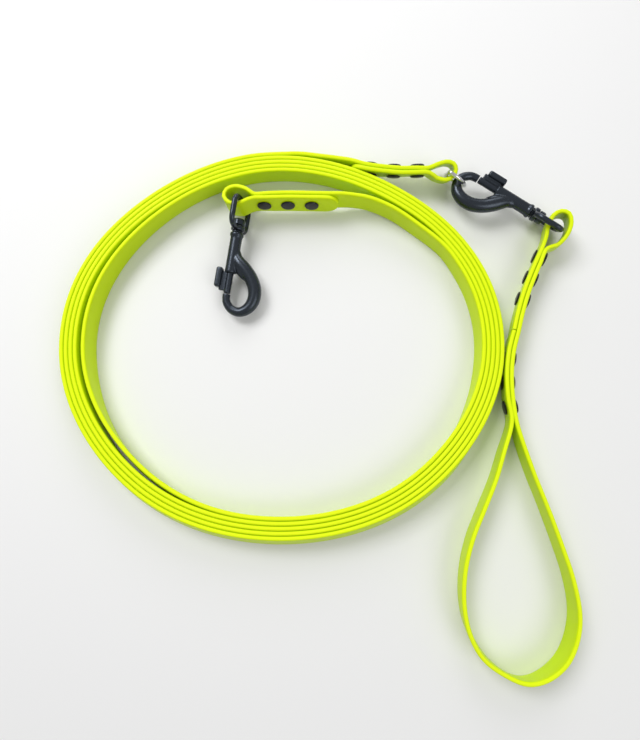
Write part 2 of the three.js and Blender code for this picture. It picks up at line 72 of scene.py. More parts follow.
cameraData = bpy.data.cameras.new("leashCamera")
cameraData.lens = cameraSetup["lens"]
cameraData.sensor_width = cameraSetup["sensor"]
cameraData.clip_start = cameraSetup["nearClip"]
cameraObject = bpy.data.objects.new("leashCamera", cameraData)
bpy.context.scene.collection.objects.link(cameraObject)
cameraObject.location = toFrame(*cameraSetup["place"])
cameraObject.rotation_euler = (math.radians(cameraSetup["tiltDegrees"]), 0, 0)
bpy.context.scene.camera = cameraObject
print("camera set")

strap = {
    "width": 16,
    "thickness": 2.5,
    "edgeRadius": 0.95,
    "faceCrown": 0.06,  # how far the middle of a face stands proud
    "layerPitch": 2.66,
    "restGap": 0.12,
    "step": 3,  # between rings of the mesh
    "tipStep": 0.5,
    "tipShare": 0.22,  # of the width, left at a rounded tip
    "creaseDegrees": 50,
}

coil = {
    "semiAcross": 117.3,
    "semiDeep": 104.25,
    "joinAngle": 40,  # degrees, where the inner end meets the first turn
    "leadIn": 6,
    "endAngle": 90,
    "turns": 5,
    "shoulder": 0.018,
    "shoulderFront": 0.25,
    "tuck": 1,
    "tuckAngle": 68,
    "tuckFade": (4, 34),  # degrees either side
    "leanFront": 0.33,
    "leanFrontFade": (0.1, 0.75),
    "leanBack": 0.12,
    "leanBackFade": (0.3, 1),
    "slackAcross": 2,
    "slackAcrossFade": (0.2, 0.9),
    "slackTurns": (0.62, 0.9),
    "pointsPerTurn": 40,
}

# where each fold wraps a bar: the upper edge's lean along x and y, and the middle of the bar
leanAtEyeA = (-0.06, 0)
leanAtEyeB = (-0.28, -0.2)
leanAtRing = (-0.1, -0.42)
barA = (-25.7, 85, 14)
barB = (167.55, 67.95, 12.3)
ringBar = (101, 104.6, 12.1)

# each point of a spine, lead or loop: x, y of the middle of the width, height of the lower edge, and the
# lean of the upper edge along x and y; round a bar only x and y
snapEndSpine = [
    (33, 86, 4, -0.03, 0.05),
    (27, 86, 4, -0.03, 0.05),
    (15, 86, 4.5, -0.04, 0.05),
    (2, 85.9, 5, -0.05, 0.05),
    (-9, 85.7, 5.1, -0.06, 0.03),
    (-17.5, 85.5, 5.2, *leanAtEyeA),
]
snapEndLoop = [
    (-22, 82.4),
    (-26.8, 80.4),
    (-32.4, 81.2),
    (-35.6, 85.2),
    (-34, 89.6),
    (-29, 91.4),
    (-22.8, 89.8),
]
snapEndLead = [
    (41.5, 87.4, 3, -0.02, 0),
    (52, 86, 2, 0, 0),
    (65.5, 80.6, 1, 0, 0),
    (78.5, 72.2, 0, 0, 0),
]
ringEndSpine = [
    (41.5, 111.2, 1, 0, -0.2),
    (51.7, 108.6, 2, 0, -0.3),
    (69.4, 106.5, 3.4, -0.02, -0.4),
    (80, 106.2, 4.2, -0.04, -0.42),
    (88, 106, 4.5, -0.08, -0.42),
]
ringEndLoop = [
    (93.6, 102.4),
    (99.5, 100.9),
    (103.4, 102.4),
    (105, 105.8),
    (103.2, 109.1),
    (98.6, 110.2),
    (93, 109),
]
ringEndLead = [
    (33, 114.1, 0.5, 0, -0.17),
    (23.5, 115.4, 0.3, 0, -0.16),
    (11, 116.9, 0, 0, -0.13),
]
handleFoldSpine = [
    (138.5, 4, 0, -0.21, 0.05),
    (141.2, 14, 0, -0.21, 0.05),
    (145, 25.5, 0, -0.21, 0.04),
    (149.4, 36, 0, -0.23, 0),
    (154.2, 46.5, 0.2, -0.26, -0.1),
    (158.4, 55.6, 0.6, *leanAtEyeB),
]
handleEyeLoop = [
    (160, 63.5),
    (161, 69.8),
    (163.6, 75.2),
    (167.6, 77),
    (171.6, 75),
    (172.9, 69.8),
    (171.2, 63.4),
    (166.8, 58.2),
]
handleSpine = [
    (134, -49, 0, -0.2, 0),
    (132.7, -35.5, 0, -0.2, 0.02),
    (132.9, -21.5, 0, -0.21, 0.04),
    (134.8, -8.5, 0, -0.21, 0.05),
    (138.3, 3.4, 0, -0.21, 0.05),
]
handLoop = [
    (138, -62, 0, -0.12, 0),
    (143, -79, 0, -0.1, 0),
    (149.6, -98, 0, -0.1, 0),
    (155.6, -117, 0, -0.1, 0),
    (160.6, -135, 0, -0.1, 0),
    (162.8, -152, 0, -0.1, 0),
    (160.6, -166, 0, -0.1, 0.05),
    (154, -178.5, 0, -0.08, 0.12),
    (143, -187, 0, -0.04, 0.2),
    (131.5, -189.3, 0, -0.06, 0.24),
    (119.8, -184.4, 0, -0.14, 0.28),
    (109.5, -175, 0, -0.2, 0.16),
    (103, -162, 0, -0.14, 0.03),
    (100.7, -147, 0, -0.12, 0),
    (102.2, -130, 0, -0.12, 0),
    (107, -113.5, 0, -0.12, 0),
    (114, -98, 0, -0.12, 0),
    (121.3, -82, 0, -0.13, 0),
    (127, -66, 0, -0.15, 0),
]


def upOf(lean):
    return Vector((lean[0], lean[1], math.sqrt(1 - lean[0] ** 2 - lean[1] ** 2)))


def smoothStep(value, low, high):
    share = min(max((value - low) / (high - low), 0), 1)
    return share * share * (3 - 2 * share)


def oneLayer(spine, side):
    # half a pitch to the right of the spine's direction, or the left
    points = []
    for i, (x, y, lift, leanX, leanY) in enumerate(spine):
        before, after = spine[max(i - 1, 0)], spine[min(i + 1, len(spine) - 1)]
        along = Vector((after[0] - before[0], after[1] - before[1])).normalized()
        leanAcross = leanX * along.y - leanY * along.x
        out = side * strap["layerPitch"] / 2 / math.sqrt(1 - leanAcross**2)
        points.append((x + along.y * out, y - along.x * out, lift, leanX, leanY))
    return points


def foldAbout(bar, lean, points):
    up = upOf(lean)
    folded = []
    for x, y in points:
        middle = bar[2] - (up.x * (x - bar[0]) + up.y * (y - bar[1])) / up.z
        half = strap["width"] / 2 * up.z + strap["thickness"] / 2 * math.hypot(*lean)
        folded.append((x, y, middle - half - strap["restGap"], *lean))
    return folded


def coilTurns():
    # from the inner end, clockwise, to the outer end
    points = []
    sweep = 360 * coil["turns"] - coil["endAngle"] + coil["joinAngle"]
    count = round(sweep / 360 * coil["pointsPerTurn"])
    for i in range(count + 1):
        passed = coil["leadIn"] + (sweep - coil["leadIn"]) * i / count
        degrees = coil["joinAngle"] - passed
        angle = math.radians(degrees)
        turn = passed / 360
        away = abs(degrees - coil["tuckAngle"]) % 360
        tuck = coil["tuck"] * (1 - smoothStep(min(away, 360 - away), *coil["tuckFade"]))
        inner = 1 - smoothStep(turn, *coil["slackTurns"])
        slack = coil["slackAcross"] * smoothStep(-math.cos(angle), *coil["slackAcrossFade"]) * inner
        diagonal = (1 - math.cos(4 * angle)) / 2
        shape = 1 - diagonal * coil["shoulder"] * (coil["shoulderFront"] + math.sin(angle))
        grow = turn * strap["layerPitch"] - tuck - slack
        lean = coil["leanFront"] * smoothStep(-math.sin(angle), *coil["leanFrontFade"])
        lean += coil["leanBack"] * smoothStep(math.sin(angle), *coil["leanBackFade"])
        x = (coil["semiAcross"] + grow) * shape * math.cos(angle)
        y = (coil["semiDeep"] + grow) * shape * math.sin(angle)
        inward = Vector((x, y)).normalized() * -lean
        points.append((x, y, 0, inward.x, inward.y))
    return points


def midPoint(point):
    x, y, lift, leanX, leanY = point
    lean = (leanX, leanY)
    half = strap["width"] / 2 * upOf(lean).z + strap["thickness"] / 2 * math.hypot(*lean)
    return Vector((x, y, strap["restGap"] + lift + half))


def splineAt(a, b, c, d, t):
    return 0.5 * (2 * b + (c - a) * t + (2 * a - 5 * b + 4 * c - d) * t**2 + (3 * b - a - 3 * c + d) * t**3)


def stationsOf(route, tips):
    # places along the strap's middle line, each with its up and side directions and its run from the start
    middles = [midPoint(p) for p in route]
    leans = [Vector((p[3], p[4], 0)) for p in route]
    points, ups = [], []
    last = len(route) - 1
    for i in range(last):
        span = (middles[i + 1] - middles[i]).length
        near = [name for name, at in (("first", 0), ("last", last - 1)) if at == i and name in tips]
        count = max(2, math.ceil(span / (strap["tipStep"] if near else strap["step"])))
        picks = [max(i - 1, 0), i, i + 1, min(i + 2, last)]
        for k in range(count + (i == last - 1)):
            points.append(splineAt(*[middles[j] for j in picks], k / count))
            ups.append(upOf(splineAt(*[leans[j] for j in picks], k / count)))
    stations = []
    run = 0
    for i, point in enumerate(points):
        along = (points[min(i + 1, len(points) - 1)] - points[max(i - 1, 0)]).normalized()
        up = (ups[i] - along * ups[i].dot(along)).normalized()
        if i:
            run += (point - points[i - 1]).length
        stations.append({"point": point, "up": up, "side": along.cross(up).normalized(), "run": run})
    return stations


def strapSection():
    # a rectangle with rounded corners and slightly crowned faces: up the width, through the thickness
    radius, crown = strap["edgeRadius"], strap["faceCrown"]
    halfWidth, halfThick = strap["width"] / 2, strap["thickness"] / 2
    corners = [(1, 1, 0), (-1, 1, 90), (-1, -1, 180), (1, -1, 270)]
    section = []
    for signUp, signSide, turn in corners:
        for degrees in (0, 30, 60, 90):
            angle = math.radians(turn + degrees)
            u = signUp * (halfWidth - radius) + radius * math.cos(angle)
            s = signSide * (halfThick - radius) + radius * math.sin(angle)
            section.append((u, s))
        if signSide == 1 and signUp == 1:
            section += [(halfWidth * share, halfThick + crown * (1 - share**2)) for share in (0.5, 0, -0.5)]
        if signSide == -1 and signUp == -1:
            section += [(halfWidth * share, -halfThick - crown * (1 - share**2)) for share in (-0.5, 0, 0.5)]
    return section


def selectOnly(piece):
    bpy.ops.object.select_all(action="DESELECT")
    piece.select_set(True)
    bpy.context.view_layer.objects.active = piece


def drawStrap(name, stations, tips):
    section = strapSection()
    sides = len(section)
    total = stations[-1]["run"]
    tipRadius = strap["width"] / 2
    vertices, faces = [], []
    for station in stations:
        share = 1
        for end, run in (("first", station["run"]), ("last", total - station["run"])):
            if end in tips and run < tipRadius:
                share = min(share, math.sqrt(1 - (1 - run / tipRadius) ** 2))
        share = max(share, strap["tipShare"])
        for u, s in section:
            place = station["point"] + station["up"] * u * share + station["side"] * s
            vertices.append(toFrame(*place))
    for i in range(len(stations) - 1):
        for k in range(sides):
            following = (k + 1) % sides
            a, b = i * sides, (i + 1) * sides
            faces.append((a + k, a + following, b + following, b + k))
    faces.append(tuple(reversed(range(sides))))
    faces.append(tuple(range((len(stations) - 1) * sides, len(stations) * sides)))
    mesh = bpy.data.meshes.new(name)
    mesh.from_pydata(vertices, [], faces)
    uvLayer = mesh.uv_layers.new(name="alongStrap")
    for face in mesh.polygons:
        for loop in face.loop_indices:
            vertex = mesh.loops[loop].vertex_index
            station, k = divmod(vertex, sides)
            uvLayer.data[loop].uv = (stations[station]["run"] * mm, section[k][0] / strap["width"] + 0.5)
    piece = bpy.data.objects.new(name, mesh)
    bpy.context.scene.collection.objects.link(piece)
    selectOnly(piece)
    bpy.ops.object.mode_set(mode="EDIT")
    bpy.ops.mesh.select_all(action="SELECT")
    bpy.ops.mesh.normals_make_consistent(inside=False)
    bpy.ops.object.mode_set(mode="OBJECT")
    bpy.ops.object.shade_smooth_by_angle(angle=math.radians(strap["creaseDegrees"]))
    return piece


lineRoute = (
    oneLayer(snapEndSpine, -1)
    + foldAbout(barA, leanAtEyeA, snapEndLoop)
    + oneLayer(snapEndSpine[::-1], -1)
    + snapEndLead
    + coilTurns()
    + ringEndLead[::-1]
    + oneLayer(ringEndSpine, -1)
    + foldAbout(ringBar, leanAtRing, ringEndLoop[::-1])
    + oneLayer(ringEndSpine[::-1], -1)
)
handleRoute = (
    oneLayer(handleFoldSpine, -1)
    + foldAbout(barB, leanAtEyeB, handleEyeLoop)
    + oneLayer(handleFoldSpine[::-1][:-1], -1)
    + oneLayer(handleSpine[::-1], -1)
    + handLoop
    + oneLayer(handleSpine, -1)
)
lineStations = stationsOf(lineRoute, ("first", "last"))
handleStations = stationsOf(handleRoute, ())
lineStrap = drawStrap("lineStrap", lineStations, ("first", "last"))
handleStrap = drawStrap("handleStrap", handleStations, ())
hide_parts("line_coil", "line_snap_end", "line_ring_end")
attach(lineStrap, "line")
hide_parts("handle_strap")
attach(handleStrap, "handle")

studio = {
    "floorColor": (0.82, 0.82, 0.82, 1),
    "floorRoughness": 0.75,
    "floorSize": 14,  # metres, as are the soft boxes' places and sizes
    "worldColor": (1, 1, 1, 1),
    "worldStrength": 0.43,
}

bpy.ops.mesh.primitive_plane_add(size=studio["floorSize"], location=(0, 0, 0))
floorPiece = bpy.context.object
floorPiece.name = "studioFloor"
floorPaint = bpy.data.materials.new("studioFloorPaint")
floorPaint.use_nodes = True
floorShader = floorPaint.node_tree.nodes["Principled BSDF"]
floorShader.inputs["Base Color"].default_value = studio["floorColor"]
floorShader.inputs["Roughness"].default_value = studio["floorRoughness"]
floorPiece.data.materials.append(floorPaint)

world = bpy.data.worlds.new("softStudio")
world.use_nodes = True
sky = world.node_tree.nodes["Background"]
sky.inputs["Color"].default_value = studio["worldColor"]
sky.inputs["Strength"].default_value = studio["worldStrength"]
bpy.context.scene.world = world
bpy.context.scene.view_settings.view_transform = "Standard"

softBoxes = {
    "keyBox": {"place": (-0.5, 0.55, 0.9), "size": 0.5, "power": 7.4},
    "fillBox": {"place": (0.7, -0.5, 0.9), "size": 0.7, "power": 3.4},
    "backBox": {"place": (0.1, 1.1, 0.6), "size": 0.6, "power": 3.8},
}
for name, box in softBoxes.items():
    light = bpy.data.lights.new(name, "AREA")
    light.energy = box["power"]
    light.size = box["size"]
    lamp = bpy.data.objects.new(name, light)
    bpy.context.scene.collection.objects.link(lamp)
    lamp.location = box["place"]
    lamp.rotation_euler = (-Vector(box["place"])).to_track_quat("-Z", "Y").to_euler()
print("studio set")


def newFinish(name):
    finish = bpy.data.materials.new(name)
    finish.use_nodes = True
    nodes, links = finish.node_tree.nodes, finish.node_tree.links
    return finish, nodes, links, nodes["Principled BSDF"]


def addNode(nodes, kind, **settings):
    node = nodes.new(kind)
    for key, value in settings.items():
        if key in node.inputs:
            node.inputs[key].default_value = value
        else:
            setattr(node, key, value)
    return node


coating = {
    "face": (0.60, 0.80, 0.0, 1),
    "faceDeep": (0.54, 0.73, 0.0, 1),
    # rim: painted highlight, the paler colour painted along the strap's edges
    "rim": (0.76, 0.92, 0.01, 1),
    "gloss": (0.9, 1, 0.25, 1),
    "roughness": 0.4,
    "specular": 0.3,
    "cloudScale": 45,
    "paintedHighlightFrom": 0.455,  # share of the width, out from the middle, where the painted edge highlight begins
    "paintedHighlightTo": 0.495,
    "grainScale": 1400,
    "grainStrength": 0.35,
    "grainHeight": 0.00003,
    "weaveScale": 240,
    "weaveStrength": 0.12,
}


def makeCoating():
    finish, nodes, links, shader = newFinish("neonCoating")
    shader.inputs["Roughness"].default_value = coating["roughness"]
    shader.inputs["Specular IOR Level"].default_value = coating["specular"]
    shader.inputs["Specular Tint"].default_value = coating["gloss"]
    place = addNode(nodes, "ShaderNodeTexCoord")
    clouds = addNode(nodes, "ShaderNodeTexNoise", Scale=coating["cloudScale"], Detail=4, Roughness=0.6)
    tone = addNode(nodes, "ShaderNodeMix", data_type="RGBA")
    tone.inputs["A"].default_value = coating["face"]
    tone.inputs["B"].default_value = coating["faceDeep"]
    links.new(place.outputs["Object"], clouds.inputs["Vector"])
    links.new(clouds.outputs["Fac"], tone.inputs["Factor"])
    # painted highlight: the strap's edges are painted paler than the faces, standing in for the light they
    # catch
    along = addNode(nodes, "ShaderNodeUVMap", uv_map="alongStrap")
    split = addNode(nodes, "ShaderNodeSeparateXYZ")
    centred = addNode(nodes, "ShaderNodeMath", operation="SUBTRACT")
    centred.inputs[1].default_value = 0.5
    distance = addNode(nodes, "ShaderNodeMath", operation="ABSOLUTE")
    rim = addNode(nodes, "ShaderNodeMapRange")
    rim.inputs["From Min"].default_value = coating["paintedHighlightFrom"]
    rim.inputs["From Max"].default_value = coating["paintedHighlightTo"]
    paintedEdgeHighlight = addNode(nodes, "ShaderNodeMix", data_type="RGBA")
    paintedEdgeHighlight.inputs["B"].default_value = coating["rim"]
    links.new(along.outputs["UV"], split.inputs["Vector"])
    links.new(split.outputs["Y"], centred.inputs[0])
    links.new(centred.outputs["Value"], distance.inputs[0])
    links.new(distance.outputs["Value"], rim.inputs["Value"])
    links.new(rim.outputs["Result"], paintedEdgeHighlight.inputs["Factor"])
    links.new(tone.outputs["Result"], paintedEdgeHighlight.inputs["A"])
    links.new(paintedEdgeHighlight.outputs["Result"], shader.inputs["Base Color"])
    # fine pebble grain over a faint weave that shows through the coating
    height = coating["grainHeight"]
    grain = addNode(nodes, "ShaderNodeTexNoise", Scale=coating["grainScale"], Detail=3, Roughness=0.55)
    weave = addNode(nodes, "ShaderNodeTexWave", Scale=coating["weaveScale"], Distortion=0.6)
    weave.wave_type = "BANDS"
    weave.bands_direction = "X"
    grainBump = addNode(nodes, "ShaderNodeBump", Strength=coating["grainStrength"], Distance=height)
    weaveBump = addNode(nodes, "ShaderNodeBump", Strength=coating["weaveStrength"], Distance=height)
    links.new(place.outputs["Object"], grain.inputs["Vector"])
    links.new(along.outputs["UV"], weave.inputs["Vector"])
    links.new(grain.outputs["Fac"], grainBump.inputs["Height"])
    links.new(weave.outputs["Fac"], weaveBump.inputs["Height"])
    links.new(grainBump.outputs["Normal"], weaveBump.inputs["Normal"])
    links.new(weaveBump.outputs["Normal"], shader.inputs["Normal"])
    return finish


metals = {
    "blackCoat": {
        "color": (0.052, 0.063, 0.079, 1),
        "darker": (0.028, 0.034, 0.044, 1),
        "metallic": 0.75,
        "roughness": 0.26,
        "grainScale": 2200,
        "grainHeight": 0.00002,
    },
    "capBlack": {
        "color": (0.008, 0.009, 0.011, 1),
        "darker": (0.004, 0.004, 0.005, 1),
        "metallic": 0.2,
        "roughness": 0.3,
        "grainScale": 1800,
        "grainHeight": 0.00001,
    },
    "brightNickel": {
        "color": (0.83, 0.83, 0.85, 1),
        "darker": (0.70, 0.70, 0.73, 1),
        "metallic": 1.0,
        "roughness": 0.2,
        "grainScale": 1500,
        "grainHeight": 0.00001,
    },
    "springSteel": {
        "color": (0.46, 0.47, 0.49, 1),
        "darker": (0.34, 0.35, 0.37, 1),
        "metallic": 1.0,
        "roughness": 0.32,
        "grainScale": 1500,
        "grainHeight": 0.00001,
    },
}
metalWear = {
    "cloudScale": 120,
    "glossier": 0.06,
    "duller": 0.08,
    "grainStrength": 0.3,
    "proudFrom": 0.545,
    "proudTo": 0.68,
    "paler": 1.6,
}


def makeMetal(name):
    metal = metals[name]
    color, roughness = metal["color"], metal["roughness"]
    finish, nodes, links, shader = newFinish(name)
    shader.inputs["Metallic"].default_value = metal["metallic"]
    place = addNode(nodes, "ShaderNodeTexCoord")
    clouds = addNode(nodes, "ShaderNodeTexNoise", Scale=metalWear["cloudScale"], Detail=5, Roughness=0.6)
    tone = addNode(nodes, "ShaderNodeMix", data_type="RGBA")
    tone.inputs["A"].default_value = color
    tone.inputs["B"].default_value = metal["darker"]
    gloss = addNode(nodes, "ShaderNodeMapRange")
    gloss.inputs["To Min"].default_value = roughness - metalWear["glossier"]
    gloss.inputs["To Max"].default_value = roughness + metalWear["duller"]
    speckle = addNode(nodes, "ShaderNodeTexNoise", Scale=metal["grainScale"], Detail=3, Roughness=0.6)
    strength = metalWear["grainStrength"]
    bump = addNode(nodes, "ShaderNodeBump", Strength=strength, Distance=metal["grainHeight"])
    links.new(place.outputs["Object"], clouds.inputs["Vector"])
    links.new(place.outputs["Object"], speckle.inputs["Vector"])
    links.new(clouds.outputs["Fac"], tone.inputs["Factor"])
    links.new(clouds.outputs["Fac"], gloss.inputs["Value"])
    # rubbed paler where an edge stands proud
    shape = addNode(nodes, "ShaderNodeNewGeometry")
    proud = addNode(nodes, "ShaderNodeMapRange")
    proud.inputs["From Min"].default_value = metalWear["proudFrom"]
    proud.inputs["From Max"].default_value = metalWear["proudTo"]
    patches = addNode(nodes, "ShaderNodeMath", operation="MULTIPLY")
    rubbed = addNode(nodes, "ShaderNodeMix", data_type="RGBA")
    rubbed.inputs["B"].default_value = [min(1, part * metalWear["paler"]) for part in color[:3]] + [1]
    links.new(shape.outputs["Pointiness"], proud.inputs["Value"])
    links.new(proud.outputs["Result"], patches.inputs[0])
    links.new(speckle.outputs["Fac"], patches.inputs[1])
    links.new(patches.outputs["Value"], rubbed.inputs["Factor"])
    links.new(tone.outputs["Result"], rubbed.inputs["A"])
    links.new(rubbed.outputs["Result"], shader.inputs["Base Color"])
    links.new(gloss.outputs["Result"], shader.inputs["Roughness"])
    links.new(speckle.outputs["Fac"], bump.inputs["Height"])
    links.new(bump.outputs["Normal"], shader.inputs["Normal"])
    return finish


neonCoating = makeCoating()
blackCoat = makeMetal("blackCoat")
capBlack = makeMetal("capBlack")
brightNickel = makeMetal("brightNickel")
springSteel = makeMetal("springSteel")

for piece in (lineStrap, handleStrap):
    piece.data.materials.append(neonCoating)
print("finishes made")


# every metal piece is shaped on its own in millimetres, then carried to its place
sidesRound = {"barrel": 48, "hook": 36, "web": 24, "pin": 40, "wire": 28, "boss": 48, "cap": 40, "bore": 40}
metalCreaseDegrees = 38


def sweepTube(name, path, radii, sides, closed=False):
    # a ring of edges pushed along a path in the xy plane, turned and scaled as it goes
    tangents = []
    for i, point in enumerate(path):
        if closed:
            before, after = path[i - 1], path[(i + 1) % len(path)]
        else:
            before, after = path[max(i - 1, 0)], path[min(i + 1, len(path) - 1)]
        tangents.append(math.atan2(after[1] - before[1], after[0] - before[0]))
    bpy.ops.object.select_all(action="DESELECT")
    bpy.ops.mesh.primitive_circle_add(
        vertices=sides,
        radius=radii[0],
        location=(*path[0], 0),
        rotation=(0, math.pi / 2, tangents[0]),
    )
    piece = bpy.context.object
    piece.name = name
    bpy.ops.object.transform_apply(location=True, rotation=True, scale=True)
    bpy.ops.object.mode_set(mode="EDIT")
    bpy.ops.mesh.select_all(action="SELECT")
    for i in range(1, len(path)):
        centre = (*path[i], 0)
        step = (path[i][0] - path[i - 1][0], path[i][1] - path[i - 1][1], 0)
        bend = (tangents[i] - tangents[i - 1] + math.pi) % (2 * math.pi) - math.pi
        bpy.ops.mesh.extrude_region_move(TRANSFORM_OT_translate={"value": step})
        if abs(bend) > 1e-5:
            bpy.ops.transform.rotate(value=-bend, orient_axis="Z", center_override=centre)
        if abs(radii[i] - radii[i - 1]) > 1e-6:
            growth = radii[i] / radii[i - 1]
            bpy.ops.transform.resize(value=(growth,) * 3, center_override=centre)
    bpy.ops.mesh.select_all(action="DESELECT")
    bpy.ops.mesh.select_non_manifold()
    if closed:
        bpy.ops.mesh.bridge_edge_loops()
    else:
        bpy.ops.mesh.select_all(action="SELECT")
        bpy.ops.mesh.fill_holes(sides=0)
    bpy.ops.mesh.select_all(action="SELECT")
    bpy.ops.mesh.normals_make_consistent(inside=False)
    bpy.ops.object.mode_set(mode="OBJECT")
    return piece


def sweepLine(name, line, sides):
    # a line of (x, y, radius)
    return sweepTube(name, [(x, y) for x, y, radius in line], [radius for x, y, radius in line], sides)


def lathe(name, profile, sides):
    # profile of (radius, y) pairs turned about the y axis
    return sweepLine(name, [(0, y, radius) for radius, y in profile], sides)


def roundedBlock(name, low, high, bevel, segments):
    size = [b - a for a, b in zip(low, high)]
    middle = [(a + b) / 2 for a, b in zip(low, high)]
    bpy.ops.object.select_all(action="DESELECT")
    bpy.ops.mesh.primitive_cube_add(size=1, location=middle, scale=size)
    piece = bpy.context.object
    piece.name = name
    bpy.ops.object.transform_apply(location=True, rotation=True, scale=True)
    bpy.ops.object.mode_set(mode="EDIT")
    bpy.ops.mesh.select_all(action="SELECT")
    bpy.ops.mesh.bevel(offset=bevel, segments=segments, affect="EDGES")
    bpy.ops.object.mode_set(mode="OBJECT")
    return piece


def castTogether(name, parts, voxel, rounds):
    # overlapping shapes become one skin, softened as a casting is
    bpy.ops.object.select_all(action="DESELECT")
    for part in parts:
        part.select_set(True)
    bpy.context.view_layer.objects.active = parts[0]
    bpy.ops.object.join()
    piece = bpy.context.object
    piece.name = name
    remesh = piece.modifiers.new("skin", "REMESH")
    remesh.mode = "VOXEL"
    remesh.voxel_size = voxel
    smooth = piece.modifiers.new("soften", "SMOOTH")
    smooth.factor = 0.5
    smooth.iterations = rounds
    applyAll(piece)
    return piece


def applyAll(piece):
    selectOnly(piece)
    for modifier in list(piece.modifiers):
        bpy.ops.object.modifier_apply(modifier=modifier.name)


def cutAway(piece, cutters):
    for cutter in cutters:
        cut = piece.modifiers.new("cut", "BOOLEAN")
        cut.operation = "DIFFERENCE"
        cut.solver = "EXACT"
        cut.object = cutter
        applyAll(piece)
        bpy.data.objects.remove(cutter, do_unlink=True)


toMetres = Matrix.Translation(layoutOrigin) @ Matrix.Scale(mm, 4)


def placeCopy(pattern, name, place, body, slot, finish, *nodeNames):
    piece = bpy.data.objects.new(name, pattern.data.copy())
    bpy.context.scene.collection.objects.link(piece)
    piece.data.transform(toMetres @ place)
    piece.data.materials.clear()
    piece.data.materials.append(finish)
    selectOnly(piece)
    bpy.ops.object.shade_smooth_by_angle(angle=math.radians(metalCreaseDegrees))
    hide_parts(*nodeNames)
    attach(piece, body)
    return piece


def arcPoints(x, y, radiusX, radiusY, start, end, count):
    # degrees from the x axis, either way round
    turns = [math.radians(start + (end - start) * i / count) for i in range(count + 1)]
    return [(x + radiusX * math.cos(turn), y + radiusY * math.sin(turn)) for turn in turns]


snap = {
    "barrelRadius": 3.6,
    "barrelLength": 25,
    "flangeRadius": 4.2,
    "flangeLength": 1.8,
    "flangeSlope": 1.2,
    "flangeRound": 0.6,
    "edgeRound": 0.5,
    "boltRadius": 2.1,
    "boltInside": 5,  # length of the bolt in the barrel when shut
    "boltRound": 0.4,
    "tipRadius": 2.4,
    "tipDistance": 38,
    "endGap": 0.45,  # from the hook's tip to the bolt's end
    "travel": 10.5,
    "leverThickness": 2.4,
    "leverReach": 5.4,
    "leverLength": 11.8,
    "leverAt": 1.4,  # from the bolt's end
    "leverRoot": 0.5,  # left of the bolt's axis
    "leverRound": 0.35,
    "knobReach": 8.3,
    "knobLength": 12.2,
    "knobWidth": 6.4,
    "knobOffset": 1.6,  # from the lever's hook end
    "knobRoot": 1,  # overlap onto the lever
    "knobRound": 1.25,
    "postRadius": 1.8,
    "postSocket": 3.2,
    "boreEnd": 4.6,
    "runGap": 0.3,
    "slotSpare": 1.6,  # slot beyond the lever's length and travel, counted from the bolt's end
    "bodySkin": 0.32,
    "boltSkin": 0.24,
}
# the arm and hook, then the webs in its corner: x, y from the swivel end, radius
hookLine = [
    (1.6, -14, 3.1),
    (4.4, -17.8, 4.1),
    (8.8, -21.6, 4.3),
    (13.4, -26.6, 4.2),
    (16.5, -32.8, 4.1),
    (16.8, -39, 3.9),
    (14.4, -44.4, 3.5),
    (9.7, -47.5, 3),
    (4.6, -46.8, 2.7),
    (1.1, -43.4, 2.5),
    (0.1, -40.3, 2.4),
    (0, -snap["tipDistance"], snap["tipRadius"]),
]
webLine = [(0.6, -9, 2.2), (2.2, -13.5, 2.9), (4.4, -18.5, 3), (6.6, -22, 2.3)]
cornerLine = [(3, -16.5, 2.6), (4.9, -20.2, 3.4), (7.2, -23.6, 3.1), (10.6, -26.2, 2.5), (13, -28, 1.8)]


def smoothLine(points, count):
    # the points with more between them, all numbers carried along
    last = len(points) - 1
    finer = []
    for i in range(last):
        picks = [points[j] for j in (max(i - 1, 0), i, i + 1, min(i + 2, last))]
        for k in range(count):
            finer.append([splineAt(*values, k / count) for values in zip(*picks)])
    finer.append(list(points[-1]))
    return finer


def makeSnapBody():
    mouth = -snap["barrelLength"]
    boltEnd = -snap["tipDistance"] + snap["endGap"]
    radius, edge = snap["barrelRadius"], snap["edgeRound"]
    collar, flange = snap["flangeRadius"], snap["flangeLength"]
    barrelOutline = [
        (radius - edge, mouth),
        (radius, mouth + edge),
        (radius, -flange - snap["flangeSlope"]),
        (collar, -flange),
        (collar, -snap["flangeRound"]),
        (collar - edge, 0),
    ]
    barrel = lathe("barrel", barrelOutline, sidesRound["barrel"])
    hook = sweepLine("hook", smoothLine(hookLine, 5), sidesRound["hook"])
    # the webs fill the corner between the barrel and the arm, down to the mouth
    web = sweepLine("web", webLine, sidesRound["web"])
    corner = sweepLine("corner", smoothLine(cornerLine, 3), sidesRound["web"])
    body = castTogether("snapBodyPattern", [barrel, hook, web, corner], snap["bodySkin"], 6)
    wide = snap["leverThickness"] / 2 + snap["runGap"]
    top = boltEnd + snap["travel"] + snap["leverLength"] + snap["runGap"] + snap["slotSpare"]
    bore = snap["boltRadius"] + snap["runGap"]
    socket = snap["postRadius"] + snap["runGap"]
    slotCutter = roundedBlock("slotCutter", (-radius - 3, boltEnd, -wide), (0, top, wide), 0.3, 2)
    boreCutter = lathe("boreCutter", [(bore, boltEnd), (bore, -snap["boreEnd"])], sidesRound["bore"])
    socketCutter = lathe("socketCutter", [(socket, -snap["postSocket"]), (socket, 1)], sidesRound["bore"])
    cutAway(body, [slotCutter, boreCutter, socketCutter])
    return body


